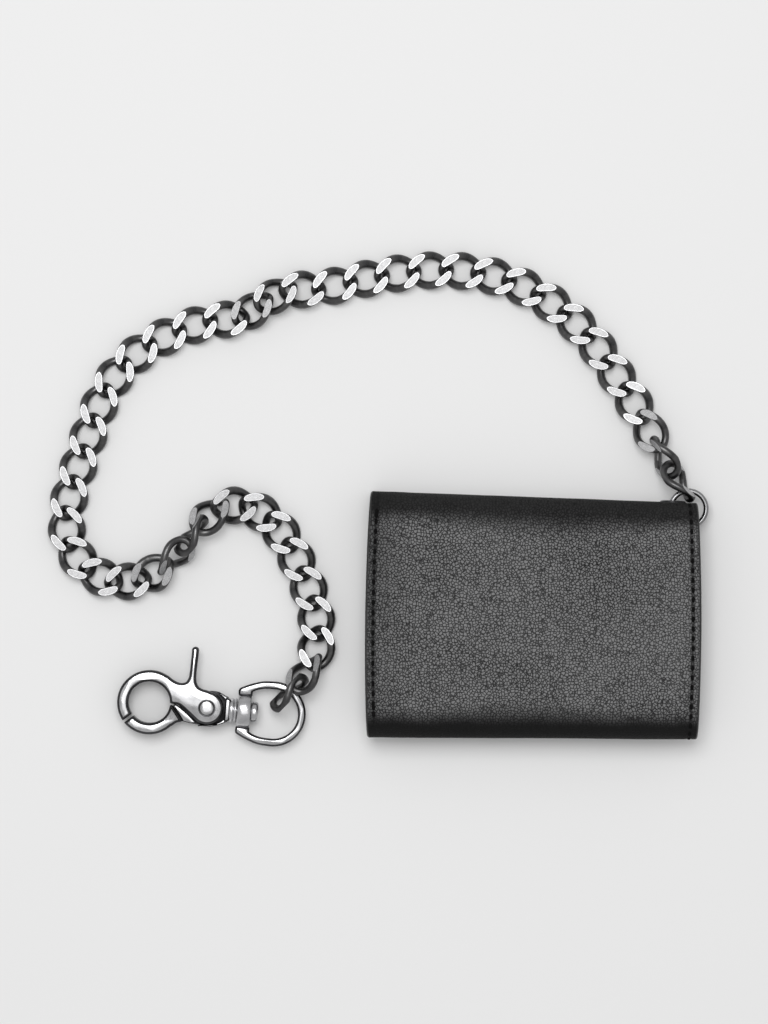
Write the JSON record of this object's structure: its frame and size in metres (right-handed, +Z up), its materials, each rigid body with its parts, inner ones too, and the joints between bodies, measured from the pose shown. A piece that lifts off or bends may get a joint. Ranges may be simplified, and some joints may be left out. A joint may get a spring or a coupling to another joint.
{
  "type": "chain wallet",
  "caption": "Trifold leather wallet with an eyelet and ring, a curb chain and a swivelling trigger snap clasp, lying closed with the chain laid round it.",
  "frame": {"origin": "middle of the whole object's outline, on the table it lies on", "axes": "+Z up off the table, +X along the object's longest extent, from the clasp's side towards the wallet, +Y away from the viewer, towards the chain's arc"},
  "size_m": [0.2146, 0.1608, 0.016],
  "materials": {
    "cover_leather": "fine pebble grain, soft satin",
    "fold_leather": "fine pebble grain, worn smooth at the folds",
    "lining_leather": "thin smooth lining leather",
    "divider_cloth": "woven lining cloth",
    "eyelet_metal": "dark nickel plate",
    "ring_metal": "gunmetal plate",
    "chain_metal": "gunmetal plate with bright ground faces",
    "clasp_metal": "polished dark nickel",
    "rivet_metal": "polished nickel",
    "spring_steel": "bare spring wire"
  },
  "bodies": {
    "outer_flap": {"outer_flap_cover": "cover_leather", "chain_eyelet": "eyelet_metal", "id_window_pocket": "lining_leather", "top_fold": "fold_leather"},
    "centre_panel": {"centre_cover": "cover_leather", "bill_divider": "divider_cloth", "centre_card_pocket": "lining_leather", "bottom_fold": "fold_leather"},
    "inner_flap": {"inner_flap_cover": "cover_leather", "inner_card_pocket": "lining_leather"},
    "wallet_ring": {"wallet_ring": "ring_metal"},
    "link_01": {"chain_link_01": "chain_metal"},
    "link_02": {"chain_link_02": "chain_metal"},
    "link_03": {"chain_link_03": "chain_metal"},
    "link_04": {"chain_link_04": "chain_metal"},
    "link_05": {"chain_link_05": "chain_metal"},
    "link_06": {"chain_link_06": "chain_metal"},
    "link_07": {"chain_link_07": "chain_metal"},
    "link_08": {"chain_link_08": "chain_metal"},
    "link_09": {"chain_link_09": "chain_metal"},
    "link_10": {"chain_link_10": "chain_metal"},
    "link_11": {"chain_link_11": "chain_metal"},
    "link_12": {"chain_link_12": "chain_metal"},
    "link_13": {"chain_link_13": "chain_metal"},
    "link_14": {"chain_link_14": "chain_metal"},
    "link_15": {"chain_link_15": "chain_metal"},
    "link_16": {"chain_link_16": "chain_metal"},
    "link_17": {"chain_link_17": "chain_metal"},
    "link_18": {"chain_link_18": "chain_metal"},
    "link_19": {"chain_link_19": "chain_metal"},
    "link_20": {"chain_link_20": "chain_metal"},
    "link_21": {"chain_link_21": "chain_metal"},
    "link_22": {"chain_link_22": "chain_metal"},
    "link_23": {"chain_link_23": "chain_metal"},
    "link_24": {"chain_link_24": "chain_metal"},
    "link_25": {"chain_link_25": "chain_metal"},
    "link_26": {"chain_link_26": "chain_metal"},
    "link_27": {"chain_link_27": "chain_metal"},
    "link_28": {"chain_link_28": "chain_metal"},
    "link_29": {"chain_link_29": "chain_metal"},
    "link_30": {"chain_link_30": "chain_metal"},
    "link_31": {"chain_link_31": "chain_metal"},
    "link_32": {"chain_link_32": "chain_metal"},
    "link_33": {"chain_link_33": "chain_metal"},
    "link_34": {"chain_link_34": "chain_metal"},
    "link_35": {"chain_link_35": "chain_metal"},
    "link_36": {"chain_link_36": "chain_metal"},
    "link_37": {"chain_link_37": "chain_metal"},
    "link_38": {"chain_link_38": "chain_metal"},
    "link_39": {"chain_link_39": "chain_metal"},
    "link_40": {"chain_link_40": "chain_metal"},
    "link_41": {"chain_link_41": "chain_metal"},
    "link_42": {"chain_link_42": "chain_metal"},
    "link_43": {"chain_link_43": "chain_metal"},
    "link_44": {"chain_link_44": "chain_metal"},
    "d_ring": {"swivel_d_ring": "clasp_metal"},
    "clasp": {"clasp_body": "clasp_metal", "pivot_rivet": "rivet_metal", "trigger_spring": "spring_steel"},
    "trigger": {"trigger_jaw": "clasp_metal"}
  },
  "joints": [
    {"name": "centre_fold", "type": "hinge", "parent": "outer_flap", "child": "centre_panel", "pos_m": [-0.00235, 0.00175, 0.0105], "axis": [-0.9993, 0.0369, 0], "range_deg": [0, 95], "deforming": ["top_fold", "bottom_fold"]},
    {"name": "inner_fold", "type": "hinge", "parent": "centre_panel", "child": "inner_flap", "pos_m": [0.10311, -0.0723, 0.01065], "axis": [-1, 0.0056, 0], "range_deg": [0, 30]},
    {"name": "clasp_trigger", "type": "hinge", "parent": "clasp", "child": "trigger", "pos_m": [-0.05562, -0.06775, 0.0041], "axis": [0, 0, -1], "range_deg": [0, 28], "stiffness_Nm_per_rad": 0.02, "springref_deg": -20.05},
    {"name": "clasp_swivel", "type": "hinge", "parent": "d_ring", "child": "clasp", "pos_m": [-0.04362, -0.06888, 0.0041], "axis": [0.9956, -0.0941, 0], "continuous": true},
    {"name": "d_ring_turn", "type": "hinge", "parent": "link_44", "child": "d_ring", "pos_m": [-0.03192, -0.06575, 0.0057], "axis": [0, 0, -1], "range_deg": [-6, 22]},
    {"name": "eyelet_ring_swing", "type": "hinge", "parent": "outer_flap", "child": "wallet_ring", "pos_m": [0.09558, -0.00187, 0.0059], "axis": [0.9993, -0.0369, 0], "range_deg": [-8, 10]},
    {"name": "link_01_turn", "type": "hinge", "parent": "wallet_ring", "child": "link_01", "pos_m": [0.10028, 0.00175, 0.0063], "axis": [0, 0, 1], "range_deg": [-12, 8]},
    {"name": "link_02_turn", "type": "hinge", "parent": "link_01", "child": "link_02", "pos_m": [0.09468, 0.00955, 0.0065], "axis": [0.8878, 0.4603, 0], "range_deg": [-20, 40]},
    {"name": "link_03_turn", "type": "hinge", "parent": "link_02", "child": "link_03", "pos_m": [0.09048, 0.01765, 0.0056], "axis": [0, 0, 1], "range_deg": [-10, 7]},
    {"name": "link_04_turn", "type": "hinge", "parent": "link_03", "child": "link_04", "pos_m": [0.08588, 0.02665, 0.0033], "axis": [-0.8659, -0.5003, 0], "range_deg": [-20, 38]},
    {"name": "link_05_turn", "type": "hinge", "parent": "link_04", "child": "link_05", "pos_m": [0.08068, 0.03565, 0.0024], "axis": [0, 0, -1], "range_deg": [-5, 26]},
    {"name": "link_06_turn", "type": "hinge", "parent": "link_05", "child": "link_06", "pos_m": [0.07458, 0.04475, 0.00225], "axis": [0.817, 0.5767, 0], "range_deg": [-26, 24]},
    {"name": "link_07_turn", "type": "hinge", "parent": "link_06", "child": "link_07", "pos_m": [0.06858, 0.05325, 0.00225], "axis": [0, 0, 1], "range_deg": [-34, 5]},
    {"name": "link_08_turn", "type": "hinge", "parent": "link_07", "child": "link_08", "pos_m": [0.06058, 0.06075, 0.00225], "axis": [-0.5767, -0.817, 0], "range_deg": [-24, 20]},
    {"name": "link_09_turn", "type": "hinge", "parent": "link_08", "child": "link_09", "pos_m": [0.05208, 0.06675, 0.00225], "axis": [0, 0, -1], "range_deg": [-3, 40]},
    {"name": "link_10_turn", "type": "hinge", "parent": "link_09", "child": "link_10", "pos_m": [0.04258, 0.07125, 0.00225], "axis": [0.2425, 0.9701, 0], "range_deg": [-28, 32]},
    {"name": "link_11_turn", "type": "hinge", "parent": "link_10", "child": "link_11", "pos_m": [0.03258, 0.07375, 0.00225], "axis": [0, 0, 1], "range_deg": [-40, 3]},
    {"name": "link_12_turn", "type": "hinge", "parent": "link_11", "child": "link_12", "pos_m": [0.02208, 0.07475, 0.00225], "axis": [0.0476, -0.9989, 0], "range_deg": [-30, 28]},
    {"name": "link_13_turn", "type": "hinge", "parent": "link_12", "child": "link_13", "pos_m": [0.01158, 0.07425, 0.00225], "axis": [0, 0, -1], "range_deg": [-3, 34]},
    {"name": "link_14_turn", "type": "hinge", "parent": "link_13", "child": "link_14", "pos_m": [0.00108, 0.07275, 0.00225], "axis": [-0.1961, 0.9806, 0], "range_deg": [-36, 38]},
    {"name": "link_15_turn", "type": "hinge", "parent": "link_14", "child": "link_15", "pos_m": [-0.00892, 0.07075, 0.00225], "axis": [0, 0, 1], "range_deg": [-32, 3]},
    {"name": "link_16_turn", "type": "hinge", "parent": "link_15", "child": "link_16", "pos_m": [-0.01942, 0.06825, 0.00225], "axis": [0, -1, 0], "range_deg": [-12, 24]},
    {"name": "link_17_turn", "type": "hinge", "parent": "link_16", "child": "link_17", "pos_m": [-0.02992, 0.06825, 0.0031], "axis": [0, 0, -1], "range_deg": [-5, 40]},
    {"name": "link_18_turn", "type": "hinge", "parent": "link_17", "child": "link_18", "pos_m": [-0.03692, 0.06425, 0.0039], "axis": [-0.5914, 0.8064, 0], "range_deg": [-24, 40]},
    {"name": "link_19_turn", "type": "hinge", "parent": "link_18", "child": "link_19", "pos_m": [-0.04442, 0.05875, 0.0027], "axis": [0, 0, 1], "range_deg": [-5, 5]},
    {"name": "link_20_turn", "type": "hinge", "parent": "link_19", "child": "link_20", "pos_m": [-0.05462, 0.05825, 0.00225], "axis": [0.302, -0.9533, 0], "range_deg": [-22, 30]},
    {"name": "link_21_turn", "type": "hinge", "parent": "link_20", "child": "link_21", "pos_m": [-0.06472, 0.05505, 0.00225], "axis": [0, 0, -1], "range_deg": [-5, 32]},
    {"name": "link_22_turn", "type": "hinge", "parent": "link_21", "child": "link_22", "pos_m": [-0.07442, 0.05055, 0.00225], "axis": [-0.6166, 0.7873, 0], "range_deg": [-18, 22]},
    {"name": "link_23_turn", "type": "hinge", "parent": "link_22", "child": "link_23", "pos_m": [-0.08272, 0.04405, 0.00225], "axis": [0, 0, 1], "range_deg": [-40, 7]},
    {"name": "link_24_turn", "type": "hinge", "parent": "link_23", "child": "link_24", "pos_m": [-0.08882, 0.03545, 0.00225], "axis": [0.9291, -0.3698, 0], "range_deg": [-24, 22]},
    {"name": "link_25_turn", "type": "hinge", "parent": "link_24", "child": "link_25", "pos_m": [-0.09272, 0.02565, 0.00225], "axis": [0, 0, -1], "range_deg": [-8, 34]},
    {"name": "link_26_turn", "type": "hinge", "parent": "link_25", "child": "link_26", "pos_m": [-0.09592, 0.01565, 0.00225], "axis": [-0.9496, 0.3134, 0], "range_deg": [-34, 34]},
    {"name": "link_27_turn", "type": "hinge", "parent": "link_26", "child": "link_27", "pos_m": [-0.09922, 0.00565, 0.00225], "axis": [0, 0, 1], "range_deg": [-34, 16]},
    {"name": "link_28_turn", "type": "hinge", "parent": "link_27", "child": "link_28", "pos_m": [-0.10182, -0.00455, 0.00225], "axis": [0.9961, 0.0879, 0], "range_deg": [-26, 18]},
    {"name": "link_29_turn", "type": "hinge", "parent": "link_28", "child": "link_29", "pos_m": [-0.10092, -0.01475, 0.00225], "axis": [0, 0, -1], "range_deg": [-8, 40]},
    {"name": "link_30_turn", "type": "hinge", "parent": "link_29", "child": "link_30", "pos_m": [-0.09492, -0.02325, 0.00225], "axis": [-0.4061, -0.9138, 0], "range_deg": [-12, 22]},
    {"name": "link_31_turn", "type": "hinge", "parent": "link_30", "child": "link_31", "pos_m": [-0.08592, -0.02725, 0.0024], "axis": [0, 0, 1], "range_deg": [-40, 18]},
    {"name": "link_32_turn", "type": "hinge", "parent": "link_31", "child": "link_32", "pos_m": [-0.07692, -0.02625, 0.0027], "axis": [-0.4837, 0.8752, 0], "range_deg": [-32, 40]},
    {"name": "link_33_turn", "type": "hinge", "parent": "link_32", "child": "link_33", "pos_m": [-0.06932, -0.02205, 0.0049], "axis": [0, 0, -1], "range_deg": [-6, 40]},
    {"name": "link_34_turn", "type": "hinge", "parent": "link_33", "child": "link_34", "pos_m": [-0.06292, -0.01525, 0.0067], "axis": [0.8137, -0.5812, 0], "range_deg": [-18, 40]},
    {"name": "link_35_turn", "type": "hinge", "parent": "link_34", "child": "link_35", "pos_m": [-0.05792, -0.00825, 0.0058], "axis": [0, 0, 1], "range_deg": [-12, 18]},
    {"name": "link_36_turn", "type": "hinge", "parent": "link_35", "child": "link_36", "pos_m": [-0.05142, -0.00225, 0.0037], "axis": [-0.0555, 0.9985, 0], "range_deg": [-18, 20]},
    {"name": "link_37_turn", "type": "hinge", "parent": "link_36", "child": "link_37", "pos_m": [-0.04242, -0.00175, 0.0024], "axis": [0, 0, -1], "range_deg": [-16, 16]},
    {"name": "link_38_turn", "type": "hinge", "parent": "link_37", "child": "link_38", "pos_m": [-0.03442, -0.00675, 0.00225], "axis": [-0.824, -0.5665, 0], "range_deg": [-36, 30]},
    {"name": "link_39_turn", "type": "hinge", "parent": "link_38", "child": "link_39", "pos_m": [-0.02892, -0.01475, 0.00225], "axis": [0, 0, 1], "range_deg": [-22, 18]},
    {"name": "link_40_turn", "type": "hinge", "parent": "link_39", "child": "link_40", "pos_m": [-0.02442, -0.02425, 0.00225], "axis": [0.9383, 0.3457, 0], "range_deg": [-38, 40]},
    {"name": "link_41_turn", "type": "hinge", "parent": "link_40", "child": "link_41", "pos_m": [-0.02092, -0.03375, 0.00225], "axis": [0, 0, -1], "range_deg": [-28, 20]},
    {"name": "link_42_turn", "type": "hinge", "parent": "link_41", "child": "link_42", "pos_m": [-0.01942, -0.04375, 0.0026], "axis": [-0.9878, 0.156, 0], "range_deg": [-40, 18]},
    {"name": "link_43_turn", "type": "hinge", "parent": "link_42", "child": "link_43", "pos_m": [-0.02092, -0.05325, 0.0049], "axis": [0, 0, 1], "range_deg": [-7, 40]},
    {"name": "link_44_turn", "type": "hinge", "parent": "link_43", "child": "link_44", "pos_m": [-0.02592, -0.05975, 0.0061], "axis": [0.7071, -0.7071, 0], "range_deg": [-1, 16]}
  ],
  "couplings": [
    {"joint": "inner_fold", "follows": "centre_fold", "ratio": 0.25}
  ]
}
